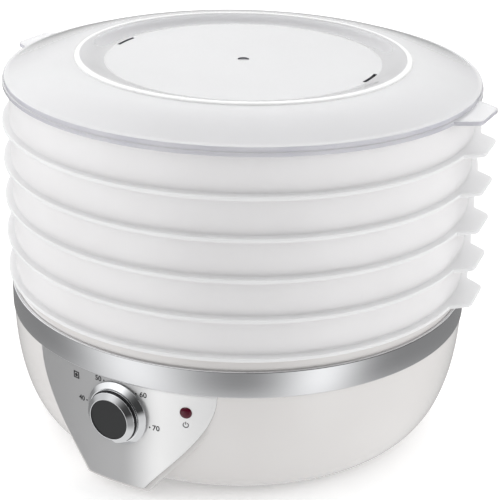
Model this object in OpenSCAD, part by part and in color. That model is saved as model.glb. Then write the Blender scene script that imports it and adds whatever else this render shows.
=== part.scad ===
// Round food dehydrator: a heated fan base, five stacking trays and a clear lid.
// Millimetres. The origin is on the table, under the centre of the base. +Z is up and
// the control panel faces -Y.

/* [Base] */
// Radius of the base just below the chrome band
base_r = 157.5; // [153:0.5:160]
// Height of the feet under the base
foot_h = 2; // [1.5:0.5:5]
// Height of the chrome band's lower edge above the table
band_z = 82.8; // [80:0.1:85]
// Height of the chrome band
band_h = 17.8; // [16:0.1:19]
// Radius of the flat underside, where the bowl starts to curve up
flat_r = 126; // [118:1:130]
// Squareness of the bowl's curve, 2 is an ellipse
bowl_power = 2.1; // [1.9:0.1:2.4]
// Wall thickness of the base mouldings
shell_t = 2.6; // [2.2:0.1:3]

/* [Control panel] */
// Half width of the panel at its top edge
panel_top_half = 66; // [64:1:68]
// Half width of the panel at its bottom edge
panel_low_half = 21; // [18:1:24]
// Height of the panel's bottom edge above the table
panel_low_z = 9; // [8:0.5:12]
// Height of the knob's centre above the table
knob_z = 59.8; // [57:0.1:60.2]
// Distance that the knob's axis stands to the right of the panel's centre line
knob_x = 2.5; // [0:0.5:4]
// Radius of the knob's chrome skirt
knob_r = 21.6; // [20.5:0.1:22]
// Distance that the knob stands out from the panel
knob_depth = 10.2; // [10:0.1:13]
// Angle of the indicator lamp round the base, to the right of the knob
lamp_angle = 17.7; // [17:0.1:19]
// Height of the indicator lamp above the table
lamp_z = 69.8; // [67:0.1:71]

/* [Trays] */
// Height that each tray adds to the stack
tray_pitch = 26; // [22:0.5:32]
// Wall thickness of the trays
tray_t = 2; // [1.6:0.1:2.4]
// Thickness of the flange round each tray
flange_t = 2.5; // [2:0.1:3]
// Distance that the lifting tabs stand out from the flange
tab_out = 10; // [8:0.5:10]
// Angle that the trays are turned from the base's X axis
tray_turn = 7.5; // [0:0.5:10]
// Number of rings in a tray's grid floor
floor_rings = 9; // [6:1:12]
// Number of spokes in a tray's grid floor
floor_spokes = 16; // [8:4:24]

/* [Lid] */
// Height of the lid's upright rim
lid_rim_h = 6; // [5:0.5:8]
// Height of the lid's ring above the underside of the rim
lid_ring_h = 17; // [15:0.5:20]
// Radius of the lid's raised ring at its crest
lid_ring_r = 110; // [105:1:115]
// Radius of the lid's flat centre
lid_disc_r = 92; // [88:1:94]
// Angle that the lid is turned from the base's X axis
lid_turn = 1.5; // [0:0.5:10]

/* [Fan and heater] */
// Inner radius of the fan duct
duct_r = 47; // [46:0.5:50]
// Radius of the fan's blade tips
fan_r = 43; // [38:0.5:43.5]
// Number of fan blades
fan_blades = 7; // [5:1:9]
// Pitch of the fan blades from horizontal
blade_pitch = 30; // [20:1:35]

/* [Hidden] */

$fn = 96;
eps = 0.01;          // extra length that makes a cut break through a face
through = 40;        // length of a cut that passes right through a wall

// Base mouldings
bowl_h = band_z - foot_h;
bowl_steps = 14;                         // facets of the bowl's curve, top to bottom
band_t = 2;                              // thickness of the chrome band
band_proud = 0.8;                        // how far the band stands out from the bowl
band_r = base_r + band_proud;
neck_r = band_r - band_t - 0.3;          // outside of the neck that carries the band
band_top_z = band_z + band_h;
rim_top_z = 108.25;                      // top of the white rim above the band
rim_r = base_r - 1.5;
deck_z = 90;                             // underside of the top cover's deck
deck_t = 2.5;
outlet_r = 46;                           // air outlet in the deck
seat_drop = 5.25;                        // depth of the rebate that takes a tray's spigot
underside_r = 88;                        // opening in the bowl's underside

// Control pod and panel
panel_t = 1.5;
panel_r = base_r + 0.1;                  // outside of the panel's curve
pod_r = panel_r - panel_t;               // outside of the pod behind the panel
pod_rim = 2.4;                           // the pod stands out this far round the panel
panel_steps = 12;                        // points on each side of the panel's outline
panel_curve = 1.1;                       // how far the panel's sides sag towards the bottom
bush_r = 4.9;                            // thermostat's threaded neck
bush_gap = 0.3;
shaft_r = 3;
running_gap = 0.05;                      // radial clearance of a turning shaft
knob_gap = 0.4;
knob_back_y = -panel_r - knob_gap;
knob_front_y = -panel_r - knob_depth;
knob_skirt_t = 3.8;
knob_shoulder_r = 18.4;                  // where the skirt's cone ends at the knob's body
knob_face_r = 13.5;
knob_face_t = 3;
thermostat_y = -148;                     // front face of the thermostat's case
thermostat_case = [34, 20, 26];
thermostat_tag_x = 9;                    // the case's two terminals, left and right of its centre
thermostat_tag = [5, 7, 0.8];
lens_r = 4;
lens_gap = 0.1;

// Trays
tray_r = base_r - 2.5;                   // outside of a tray's wall
flange_r = base_r + 2.5;
tab_r = flange_r + tab_out;
spigot_h = 3;                            // ring under each tray that locates it in the one below
spigot_gap = 0.6;
spigot_r = tray_r - tray_t - spigot_gap;
floor_seat_r = spigot_r - 5;             // inside of the flange, where the grid floor starts
grid_t = 2;
grid_bar = 2.4;
grid_hole_r = 15;
tab_root_half = 25;                      // half width of a tab where it leaves the flange
tab_corner_r = 5;
tab_flat_half = 13;                      // half width of a tab's straight outer edge

// Lid
lid_t = 2;
lid_flange_r = tray_r + 3.8;
lid_flange_t = 2.8;
lid_wall_r = lid_flange_r - 0.8;         // outside of the upright rim above the flange
lid_shoulder_r = lid_flange_r - 2.8;     // where the rim turns over into the top
lid_tab_r = 172;
lid_slot_turn = 2;                       // the slots are turned this far from the tabs
lid_z = rim_top_z + 5 * tray_pitch;
lid_ridge_half = 2;                      // half width of the ridge along the raised ring
lid_ridge_h = 1.2;                       // height of the ridge above the lid's outer slope
lid_disc_z = 12.5;                       // top of the flat centre above the rim's underside
lid_slot_w = 2.4;
lid_slot_half_angle = 6.5;
dimple_r = 3.5;
dimple_depth = 0.9;

// Motor and fan, from the bottom up
duct_low_z = 28;
motor_shaft_r = 2;
shaft_low_z = 16;
shaft_top_z = 68;
stator_low_z = 26;
stator_top_z = 43;
stator_half = 22;
stator_bore_r = 13.1;
rotor_r = 12.6;
leg_y0 = 19.5;                           // leg of the stator that carries the coil
leg_y1 = 27;
coil_half = 13.8;
coil_wall = 4.3;
motor_screw_r = 1.8;
motor_screw_xy = [[-17, -14], [17, -14]];
post_r = 4;
bracket_z = 48.2;
bracket_t = 2.8;
end_bracket_z = 20.5;
end_bracket_t = 2.5;
fan_low_z = 54;
fan_hub_h = 12;
fan_hub_r = 9;
blade_t = 1.6;
blade_chord = 15;

// Heater
heater_low_z = 71;
heater_h = 11;
mica_t = 1.2;
heater_wire_r = 1;
heater_radii = [16, 25, 34];
heater_wire_z = heater_low_z + heater_h / 2;

// Underside
cover_z = foot_h + shell_t;
cover_t = 2.5;
cover_r = 102;
foot_ring_r = 98;
foot_r = 9;
foot_plug_r = 3;
cover_screw_r = 1.8;
cover_screw_head_r = 3.4;
cover_screw_head_h = 1.8;
cover_screw_ring_r = 95;
cover_screw_turn = 20;

// Terminal block and wiring
block_size = [42, 16, 13];
block_at = [-21, 82, cover_z + cover_t];
wire_r = 1.1;

// Rear inlet
gland_z = 69;
gland_bore_r = 3.7;
gland_neck_r = 6;
gland_flange_r = 10;
gland_end_y = 168;
gland_seat_y = 152;

// Radius of the bowl's outside at height z, shrunk inwards by the distance inset
function bowl_r(z, inset = 0) =
  let (flat = flat_r, span = base_r - inset - flat, drop = bowl_h - inset,
       t = min(1, max(0, (band_z - z) / drop)))
  flat + span * pow(max(0, 1 - pow(t, bowl_power)), 1 / bowl_power);

// Half width of the panel's outline at the fraction t of its height
function panel_half(t) =
  panel_low_half + (panel_top_half - panel_low_half) * sin(90 * pow(t, panel_curve));

// Point where the line from p touches the circle of radius r about c, on its outer side
function touch_point(p, c, r) =
  let (d = c - p, reach = norm(d), toward = atan2(d[1], d[0]), half = asin(r / reach),
       run = sqrt(reach * reach - r * r))
  p + run * [cos(toward + half), sin(toward + half)];

// Puts the children at the angle right of the panel's centre, at height z, facing outwards
// along -Y and centred on the base's axis
module on_panel(angle, z) {
  translate([0, 0, z])
    rotate([0, 0, angle])
      rotate([90, 0, 0])
        children();
}

// Puts the children on the knob's axis, facing outwards along -Y
module on_knob() {
  translate([knob_x, 0, 0])
    on_panel(0, knob_z)
      children();
}

// Ring of rectangular section
module ring(inner, outer, z0, z1) {
  rotate_extrude()
    translate([inner, z0])
      square([outer - inner, z1 - z0]);
}

// Copies the children round the Z axis
module around(count, first = 0) {
  for (i = [0 : count - 1])
    rotate([0, 0, first + i * 360 / count])
      children();
}

// ---------- Base mouldings ----------

// Section of the bowl between its outside and the table side, shrunk by inset
module bowl_section(inset) {
  low = foot_h + inset;
  curve = [for (i = [0 : bowl_steps])
    let (a = 90 * i / bowl_steps, z = band_z - (band_z - low) * sin(a))
    [bowl_r(z, inset), z]];
  polygon(concat([[0, low], [0, band_z]], curve));
}

// Outline of the panel, drawn upright in the XY plane and made narrower by inset
module panel_outline(inset) {
  low = panel_low_z + inset;
  rise = band_z - low;
  side = [for (i = [0 : panel_steps])
    let (t = i / panel_steps) [panel_half(t) - inset, low + rise * t]];
  flipped = [for (i = [panel_steps : -1 : 0]) [-side[i][0], side[i][1]]];
  polygon(concat(side, flipped));
}

// Prism of the panel's outline, from the base's axis out past the front
module panel_prism(inset) {
  rotate([90, 0, 0])
    linear_extrude(height = base_r + through)
      panel_outline(inset);
}

// Body of the control pod, out to the given radius
module pod(radius, inset) {
  intersection() {
    panel_prism(inset);
    cylinder(r = radius, h = band_z, $fn = 128);
  }
}

module base_shell() {
  color("whitesmoke")
  difference() {
    union() {
      difference() {
        union() {
          rotate_extrude() bowl_section(0);
          pod(pod_r, -pod_rim);
        }
        rotate_extrude() bowl_section(shell_t);
        pod(pod_r - shell_t, shell_t - pod_rim);
        translate([0, 0, foot_h - eps])
          cylinder(r = underside_r, h = shell_t + 2 * eps);
      }
      ring(neck_r - shell_t, neck_r, band_z - shell_t, band_top_z);
    }
    // recess that the panel lies in
    intersection() {
      panel_prism(0);
      ring(pod_r, band_r, 0, band_z);
    }
    // holes for the thermostat's neck, the lamp and the cord gland
    on_knob()
      translate([0, 0, pod_r - through / 2])
        cylinder(r = bush_r + bush_gap, h = through);
    on_panel(lamp_angle, lamp_z)
      translate([0, 0, pod_r - through / 2])
        cylinder(r = lens_r + lens_gap, h = through);
    on_panel(180, gland_z)
      translate([0, 0, gland_seat_y - through / 2])
        cylinder(r = gland_neck_r, h = through);
    // holes for the cover screws and the feet
    around(4, cover_screw_turn)
      translate([cover_screw_ring_r, 0, 0])
        cylinder(r = cover_screw_r, h = cover_z + eps);
    around(4, 45)
      translate([foot_ring_r, 0, 0])
        cylinder(r = foot_plug_r, h = cover_z + eps);
  }
}

module chrome_band() {
  color("silver")
    rotate_extrude()
      polygon([
        [band_r - band_t, band_z],
        [band_r - 0.5, band_z],
        [band_r, band_z + 0.5],
        [band_r, band_top_z - 0.5],
        [band_r - 0.5, band_top_z],
        [band_r - band_t, band_top_z]
      ]);
}

module top_cover() {
  wall_r = neck_r - shell_t - 0.3;
  inner_r = wall_r - shell_t;
  seat_r = spigot_r + spigot_gap - 0.2;
  color("whitesmoke")
    rotate_extrude()
      polygon([
        [outlet_r, deck_z],
        [wall_r, deck_z],
        [wall_r, band_top_z],
        [rim_r, band_top_z],
        [rim_r, rim_top_z - 0.8],
        [rim_r - 0.8, rim_top_z],
        [seat_r, rim_top_z],
        [seat_r, rim_top_z - seat_drop],
        [inner_r, rim_top_z - seat_drop],
        [inner_r, deck_z + deck_t],
        [outlet_r + deck_t, deck_z + deck_t],
        [outlet_r + deck_t, deck_z + 7],
        [outlet_r, deck_z + 7]
      ]);
}

module outlet_grille() {
  skirt_r = outlet_r + deck_t + 0.3;
  top_z = deck_z + deck_t + 9.5;
  color("whitesmoke")
  difference() {
    union() {
      ring(skirt_r, skirt_r + 2.2, deck_z + deck_t, top_z);
      translate([0, 0, top_z - 2.4])
        cylinder(r = skirt_r + 2.2, h = 2.4);
    }
    around(16)
      translate([14, -2, top_z - 3])
        cube([30, 4, 4]);
  }
}

module front_panel() {
  color("lightgray")
  difference() {
    intersection() {
      panel_prism(0);
      ring(pod_r, panel_r, 0, band_z);
    }
    on_knob()
      translate([0, 0, pod_r - through / 2])
        cylinder(r = bush_r + bush_gap, h = through);
    on_panel(lamp_angle, lamp_z)
      translate([0, 0, pod_r - through / 2])
        cylinder(r = lens_r + lens_gap, h = through);
  }
}

// ---------- Controls ----------

module indicator_lens() {
  stem_r = lens_r - 0.1;
  color("darkred")
    on_panel(lamp_angle, lamp_z)
      rotate_extrude()
        polygon(concat(
          [[0, pod_r - 6], [stem_r, pod_r - 6]],
          [for (a = [0 : 15 : 90]) [stem_r * cos(a), panel_r + 1.6 * sin(a)]]
        ));
}

module neon_lamp() {
  color("orange")
    on_panel(lamp_angle, lamp_z) {
      translate([0, 0, pod_r - 19])
        cylinder(r = 2.6, h = 13);
      for (side = [-1, 1])
        translate([side * 1.2, 0, pod_r - 25])
          cylinder(r = 0.5, h = 6);
    }
}

// Thermostat with a collar behind the pod's wall and a threaded neck through it
module thermostat_body() {
  case_size = thermostat_case;
  neck_end = panel_r + 4;
  collar_end = pod_r - shell_t - 0.3;
  color("dimgray")
  difference() {
    union() {
      translate([knob_x - case_size[0] / 2, thermostat_y, knob_z - case_size[2] / 2])
        cube(case_size);
      on_knob()
        translate([0, 0, -thermostat_y]) {
          cylinder(r = bush_r, h = neck_end + thermostat_y);
          cylinder(r = bush_r + 2.6, h = collar_end + thermostat_y);
        }
      for (side = [-1, 1])
        translate([knob_x + side * thermostat_tag_x - thermostat_tag[0] / 2,
                   thermostat_y + case_size[1], knob_z - 4])
          cube(thermostat_tag);
    }
    on_knob()
      translate([0, 0, -thermostat_y - 12])
        cylinder(r = shaft_r + running_gap, h = neck_end);
  }
}

module thermostat_nut() {
  color("silver")
    on_knob()
      translate([0, 0, panel_r])
        difference() {
          cylinder(r = 7.5, h = 2.6, $fn = 6);
          translate([0, 0, -eps])
            cylinder(r = bush_r, h = 3);
        }
}

module thermostat_shaft() {
  inside = -thermostat_y - 8;
  color("silver")
    on_knob()
      translate([0, 0, inside])
        cylinder(r = shaft_r, h = -knob_front_y - knob_face_t - inside);
}

// Conical chrome ring at the foot of the knob, hollow round the nut
module knob_skirt() {
  back = -knob_back_y;
  color("silver")
    on_knob()
      rotate_extrude()
        polygon([
          [12, back],
          [knob_r - 0.4, back],
          [knob_r, back + 0.4],
          [knob_r, back + 0.8],
          [knob_shoulder_r, back + knob_skirt_t],
          [12, back + knob_skirt_t]
        ]);
}

// Stepped chrome body with a waist and a conical bezel round the face
module knob_body() {
  back = -knob_back_y + knob_skirt_t;
  front = -knob_front_y;
  hollow_r = 9.5;
  step_r = 17.9;
  waist_r = 16;
  bezel_r = 17.2;
  color("silver")
    on_knob()
      rotate_extrude()
        polygon([
          [shaft_r, front - 5],
          [hollow_r, front - 5],
          [hollow_r, back],
          [step_r, back],
          [step_r, back + 0.9],
          [waist_r, back + 1.6],
          [waist_r, front - 3.6],
          [bezel_r, front - 3],
          [bezel_r, front - 2.5],
          [knob_face_r + 0.4, front],
          [knob_face_r, front],
          [knob_face_r, front - knob_face_t],
          [shaft_r, front - knob_face_t]
        ]);
}

module knob_face() {
  front = -knob_front_y;
  color("darkslategray")
    on_knob()
      rotate_extrude()
        polygon([
          [0, front - knob_face_t],
          [knob_face_r, front - knob_face_t],
          [knob_face_r, front - 0.8],
          [knob_face_r - 0.5, front - 0.4],
          [0, front - 0.4]
        ]);
}

// ---------- Wiring side ----------

// Rubber bush with a true bore in the rear wall
module cord_gland() {
  color("dimgray")
    on_panel(180, gland_z)
      rotate_extrude()
        polygon([
          [gland_bore_r, gland_seat_y - 6],
          [gland_neck_r, gland_seat_y - 6],
          [gland_neck_r, base_r],
          [gland_flange_r, base_r],
          [gland_flange_r, base_r + 2.5],
          [gland_neck_r + 0.5, base_r + 4],
          [gland_neck_r, gland_end_y],
          [gland_bore_r, gland_end_y]
        ]);
}

module terminal_block() {
  color("ivory")
    translate(block_at)
      difference() {
        cube(block_size);
        for (i = [0 : 2])
          translate([7 + 14 * i, block_size[1] / 2, block_size[2] - 5])
            cylinder(r = 2.2, h = 6);
      }
}

// Round wire along points that are joined by runs parallel to the axes
module wire(points) {
  for (i = [0 : len(points) - 2]) {
    run = points[i + 1] - points[i];
    length = norm(run);
    turn = run[2] != 0 ? [run[2] > 0 ? 0 : 180, 0, 0]
         : run[1] != 0 ? [run[1] > 0 ? -90 : 90, 0, 0]
         : [0, run[0] > 0 ? 90 : -90, 0];
    translate(points[i])
      rotate(turn)
        cylinder(r = wire_r, h = length, $fn = 16);
  }
  // a bead of solder or heat-shrink at each corner
  for (i = [1 : len(points) - 2])
    translate(points[i])
      sphere(r = wire_r * 1.4, $fn = 16);
}

module wiring() {
  block_top = block_at[2] + block_size[2];
  block_y = block_at[1] + block_size[1] / 2;
  low_z = block_top + 5;
  tag_x = knob_x - thermostat_tag_x;
  tag_y = thermostat_y + thermostat_case[1] + thermostat_tag[1];
  tag_z = knob_z - 4 + thermostat_tag[2] / 2;
  coil_y = leg_y1 + coil_wall;
  ring_y = sqrt(pow(heater_radii[2] + heater_wire_r, 2) - 14 * 14);
  color("firebrick") {
    // terminal block to the thermostat
    wire([
      [-14, block_y, block_top],
      [-14, block_y, low_z],
      [-70, block_y, low_z],
      [-70, -112, low_z],
      [tag_x, -112, low_z],
      [tag_x, -112, tag_z],
      [tag_x, tag_y, tag_z]
    ]);
    // terminal block to the motor's coil, under the duct
    wire([
      [0, block_y, block_top],
      [0, block_y, duct_low_z - 3],
      [0, coil_y + 9, duct_low_z - 3],
      [0, coil_y + 9, 34],
      [0, coil_y, 34]
    ]);
    // terminal block to the heater, through a hole in the duct
    wire([
      [14, block_y, block_top],
      [14, block_y, heater_wire_z],
      [14, ring_y + 0.4, heater_wire_z]
    ]);
  }
}

// ---------- Fan, motor and heater ----------

// Duct under the deck, with a hole for the heater's wire
module fan_duct() {
  color("lightgray")
  difference() {
    rotate_extrude()
      polygon([
        [duct_r, duct_low_z],
        [duct_r + 2.5, duct_low_z],
        [duct_r + 2.5, deck_z - 2.5],
        [duct_r + 12, deck_z - 2.5],
        [duct_r + 12, deck_z],
        [duct_r, deck_z]
      ]);
    translate([14, 0, heater_wire_z])
      rotate([-90, 0, 0])
        cylinder(r = 2, h = duct_r + 5);
  }
}

// Three-armed plate across the duct, with the upper bearing at its centre
module motor_bracket() {
  color("silver")
  difference() {
    intersection() {
      union() {
        translate([0, 0, bracket_z])
          cylinder(r = 24, h = bracket_t);
        around(3, 90)
          translate([0, -5, bracket_z])
            cube([duct_r + 5, 10, bracket_t]);
        translate([0, 0, bracket_z - 2.7])
          cylinder(r = 6, h = 4);
        for (p = motor_screw_xy)
          translate([p[0], p[1], stator_top_z])
            cylinder(r = post_r, h = bracket_z - stator_top_z + eps);
      }
      cylinder(r = duct_r, h = deck_z);
    }
    translate([0, 0, bracket_z - 5])
      cylinder(r = motor_shaft_r + running_gap, h = 10);
    for (p = motor_screw_xy)
      translate([p[0], p[1], stator_top_z - 1])
        cylinder(r = motor_screw_r, h = through);
  }
}

// Strip under the rotor, with the lower bearing
module motor_end_bracket() {
  color("silver")
  difference() {
    union() {
      translate([-stator_half, -19, end_bracket_z])
        cube([2 * stator_half, 26, end_bracket_t]);
      translate([0, 0, end_bracket_z - 2.5])
        cylinder(r = 6, h = 3);
      for (p = motor_screw_xy)
        translate([p[0], p[1], end_bracket_z + end_bracket_t - eps])
          cylinder(r = post_r, h = stator_low_z - end_bracket_z - end_bracket_t + eps);
    }
    translate([0, 0, end_bracket_z - 5])
      cylinder(r = motor_shaft_r + running_gap, h = 10);
    for (p = motor_screw_xy)
      translate([p[0], p[1], end_bracket_z - 1])
        cylinder(r = motor_screw_r, h = through);
  }
}

module motor_stator() {
  stack_h = stator_top_z - stator_low_z;
  color("slategray")
  translate([0, 0, stator_low_z])
  difference() {
    translate([-stator_half, -20, 0])
      cube([2 * stator_half, 20 + leg_y1, stack_h]);
    translate([0, 0, -eps])
      cylinder(r = stator_bore_r, h = stack_h + 2 * eps);
    translate([-coil_half - 0.2, leg_y0 - coil_wall, -eps])
      cube([2 * coil_half + 0.4, coil_wall, stack_h + 2 * eps]);
    for (p = motor_screw_xy)
      translate([p[0], p[1], -eps])
        cylinder(r = motor_screw_r, h = stack_h + 2 * eps);
  }
}

module motor_coil() {
  low = stator_low_z - coil_wall;
  high = stator_top_z + coil_wall;
  color("chocolate")
  difference() {
    translate([-coil_half, leg_y0 - coil_wall, low])
      cube([2 * coil_half, leg_y1 - leg_y0 + 2 * coil_wall, high - low]);
    translate([-coil_half - eps, leg_y0, stator_low_z])
      cube([2 * coil_half + 2 * eps, leg_y1 - leg_y0, stator_top_z - stator_low_z]);
  }
}

module motor_screws() {
  low = end_bracket_z - 2.4;
  color("gray")
    for (p = motor_screw_xy)
      translate([p[0], p[1], low]) {
        cylinder(r = 3.2, h = 2.4);
        cylinder(r = motor_screw_r, h = bracket_z + bracket_t - low);
      }
}

module motor_rotor() {
  color("gray")
    ring(motor_shaft_r, rotor_r, stator_low_z - 0.5, stator_top_z + 0.5);
}

module motor_shaft() {
  color("silver")
    translate([0, 0, shaft_low_z])
      cylinder(r = motor_shaft_r, h = shaft_top_z - shaft_low_z);
}

module fan_impeller() {
  color("dimgray")
  difference() {
    union() {
      translate([0, 0, fan_low_z])
        cylinder(r = fan_hub_r, h = fan_hub_h);
      around(fan_blades)
        translate([fan_hub_r - 1, 0, fan_low_z + fan_hub_h / 2])
          rotate([blade_pitch, 0, 0])
            translate([0, -blade_chord / 2, -blade_t / 2])
              cube([fan_r - fan_hub_r, blade_chord, blade_t]);
    }
    translate([0, 0, fan_low_z - 1])
      cylinder(r = motor_shaft_r, h = fan_hub_h + 2);
  }
}

// Two crossed mica plates that carry the heating wire
module heater_frame() {
  color("tan")
    intersection() {
      for (turn = [0, 90])
        rotate([0, 0, turn])
          translate([-duct_r - 1, -mica_t / 2, heater_low_z])
            cube([2 * duct_r + 2, mica_t, heater_h]);
      cylinder(r = duct_r, h = deck_z);
    }
}

module heater_element() {
  color("silver")
    for (r = heater_radii)
      rotate_extrude()
        translate([r, heater_wire_z])
          circle(r = heater_wire_r, $fn = 16);
}

module thermal_cutout() {
  color("ivory")
    translate([0, 0, heater_low_z + heater_h]) {
      cylinder(r = 8, h = 4.5);
      translate([-3, -11, 0])
        cube([6, 22, 0.8]);
    }
}

// ---------- Underside ----------

module bottom_cover() {
  color("whitesmoke")
    translate([0, 0, cover_z])
      difference() {
        cylinder(r = cover_r, h = cover_t);
        around(12)
          translate([16, -2.5, -eps])
            cube([20, 5, cover_t + 2 * eps]);
        around(24)
          translate([46, -2.5, -eps])
            cube([26, 5, cover_t + 2 * eps]);
        around(4, cover_screw_turn)
          translate([cover_screw_ring_r, 0, -eps])
            cylinder(r = cover_screw_r, h = cover_t + 2 * eps);
      }
}

module cover_screws() {
  color("gray")
    around(4, cover_screw_turn)
      translate([cover_screw_ring_r, 0, foot_h - cover_screw_head_h]) {
        cylinder(r = cover_screw_head_r, h = cover_screw_head_h);
        cylinder(r = cover_screw_r, h = shell_t + cover_t + 3 + cover_screw_head_h);
      }
}

// Rubber foot with a plug that is pushed into the base
module foot(index) {
  color("dimgray")
    rotate([0, 0, 45 + 90 * index])
      translate([foot_ring_r, 0, 0])
        rotate_extrude()
          polygon([
            [0, 0],
            [foot_r - 1, 0],
            [foot_r, 1],
            [foot_r, foot_h],
            [foot_plug_r, foot_h],
            [foot_plug_r, cover_z],
            [0, cover_z]
          ]);
}

// ---------- Trays and lid ----------

// Two opposite lifting tabs on a rim of the radius edge_r, drawn flat
module tab_outlines(edge_r, tip_r) {
  corner = [tip_r - tab_corner_r, tab_flat_half];
  root = [edge_r - 3, tab_root_half];
  edge = touch_point(root, corner, -tab_corner_r);
  for (side = [0, 180])
    rotate(side) {
      polygon([
        [root[0] - 4, -root[1]],
        [root[0] - 4, root[1]],
        root,
        edge,
        corner,
        [tip_r, corner[1]],
        [tip_r, -corner[1]],
        [corner[0], -corner[1]],
        [edge[0], -edge[1]],
        [root[0], -root[1]]
      ]);
      for (y = [-corner[1], corner[1]])
        translate([corner[0], y])
          circle(r = tab_corner_r, $fn = 32);
    }
}

// The tabs as a plate that meets the outside of a flange
module tabs(edge_r, tip_r) {
  difference() {
    linear_extrude(height = flange_t)
      tab_outlines(edge_r, tip_r);
    translate([0, 0, -eps])
      cylinder(r = edge_r - 2, h = flange_t + 2 * eps);
  }
}

// Puts the children where a tray stands, by its place in the stack counted from the top
module at_tray(place) {
  translate([0, 0, rim_top_z + (5 - place) * tray_pitch])
    rotate([0, 0, tray_turn])
      children();
}

// Flange, wall and locating spigot of one tray in one section, with its tabs
module tray(place) {
  color("gainsboro")
    at_tray(place)
      union() {
        rotate_extrude()
          polygon([
            [spigot_r - 2, -spigot_h],
            [spigot_r, -spigot_h],
            [spigot_r, 0],
            [flange_r - 0.5, 0],
            [flange_r, 0.5],
            [flange_r, flange_t - 0.5],
            [flange_r - 0.5, flange_t],
            [tray_r, flange_t],
            [tray_r, tray_pitch],
            [tray_r - tray_t, tray_pitch],
            [tray_r - tray_t, flange_t],
            [floor_seat_r, flange_t],
            [floor_seat_r, 0],
            [spigot_r - 2, 0]
          ]);
        tabs(flange_r, tab_r);
      }
}

// Grid floor of one tray, rings and spokes inside the flange
module tray_grid(place) {
  ring_step = (floor_seat_r - grid_bar - grid_hole_r) / floor_rings;
  color("gainsboro")
    at_tray(place)
      union() {
        for (i = [0 : floor_rings])
          ring(grid_hole_r + i * ring_step, grid_hole_r + i * ring_step + grid_bar, 0, grid_t);
        around(floor_spokes)
          translate([grid_hole_r + 1, -grid_bar / 2, 0])
            cube([floor_seat_r - grid_hole_r - 2, grid_bar, grid_t]);
      }
}

// Height of the lid's outer slope above the rim's underside, at radius r
function lid_slope(r) =
  let (up = (lid_shoulder_r - r) / (lid_shoulder_r - lid_ring_r - lid_ridge_half))
  lid_rim_h + (lid_ring_h - lid_ridge_h - lid_rim_h) * sin(90 * up);

// Height of the face between the ridge and the flat centre, at radius r
function lid_dish(r) =
  let (down = (r - lid_disc_r) / (lid_ring_r - lid_ridge_half / 2 - lid_disc_r))
  lid_disc_z + (lid_ring_h - lid_disc_z) * (1 - cos(180 * down)) / 2;

module lid() {
  steps = 10;
  slope_end_r = lid_ring_r + lid_ridge_half;
  dish_end_r = lid_ring_r - lid_ridge_half / 2;
  outer = [for (i = [0 : steps])
    let (r = lid_shoulder_r - (lid_shoulder_r - slope_end_r) * i / steps) [r, lid_slope(r)]];
  ridge = [[slope_end_r - 0.4, lid_ring_h - 0.4], [slope_end_r - 1, lid_ring_h]];
  inner = [for (i = [0 : steps])
    let (r = dish_end_r - (dish_end_r - lid_disc_r) * i / steps) [r, lid_dish(r)]];
  top = concat(outer, ridge, inner);
  bare = concat(outer, inner);
  under = [for (i = [len(bare) - 1 : -1 : 0]) [bare[i][0] - 0.4, bare[i][1] - lid_t]];
  color("lightblue", 0.4)
    translate([0, 0, lid_z])
      rotate([0, 0, lid_turn])
        difference() {
          union() {
            rotate_extrude()
              polygon(concat(
                [[0, lid_disc_z]],
                [[0, lid_disc_z - lid_t]],
                under,
                [
                  [lid_wall_r - lid_t, lid_rim_h - lid_t],
                  [lid_wall_r - lid_t, flange_t],
                  [spigot_r - 2, flange_t],
                  [spigot_r - 2, -spigot_h],
                  [spigot_r, -spigot_h],
                  [spigot_r, 0],
                  [lid_flange_r - 0.5, 0],
                  [lid_flange_r, 0.5],
                  [lid_flange_r, lid_flange_t - 0.5],
                  [lid_flange_r - 0.5, lid_flange_t],
                  [lid_wall_r, lid_flange_t],
                  [lid_wall_r, lid_rim_h - 1],
                  [lid_wall_r - 1, lid_rim_h]
                ],
                top
              ));
            tabs(lid_flange_r, lid_tab_r);
          }
          // two vent slots at the edge of the flat centre
          for (side = [0, 180])
            rotate([0, 0, side + lid_slot_turn - lid_slot_half_angle])
              rotate_extrude(angle = 2 * lid_slot_half_angle)
                translate([lid_disc_r - 3, 0])
                  square([lid_slot_w, lid_ring_h + 1]);
          // dimple at the centre
          translate([0, 0, lid_disc_z - dimple_depth])
            cylinder(r = dimple_r, h = 2);
        }
}

base_shell();
chrome_band();
top_cover();
outlet_grille();
front_panel();
indicator_lens();
neon_lamp();
thermostat_body();
thermostat_nut();
thermostat_shaft();
knob_skirt();
knob_body();
knob_face();
cord_gland();
terminal_block();
wiring();
fan_duct();
motor_bracket();
motor_end_bracket();
motor_stator();
motor_coil();
motor_screws();
motor_rotor();
motor_shaft();
fan_impeller();
heater_frame();
heater_element();
thermal_cutout();
bottom_cover();
cover_screws();
foot(0);  // foot_1
foot(1);  // foot_2
foot(2);  // foot_3
foot(3);  // foot_4
tray(5);  // tray_5
tray(4);  // tray_4
tray(3);  // tray_3
tray(2);  // tray_2
tray(1);  // tray_1
tray_grid(5);  // grid_5
tray_grid(4);  // grid_4
tray_grid(3);  // grid_3
tray_grid(2);  // grid_2
tray_grid(1);  // grid_1
lid();
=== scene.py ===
import math

import bmesh
import bpy
from mathutils import Matrix, Vector

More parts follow.
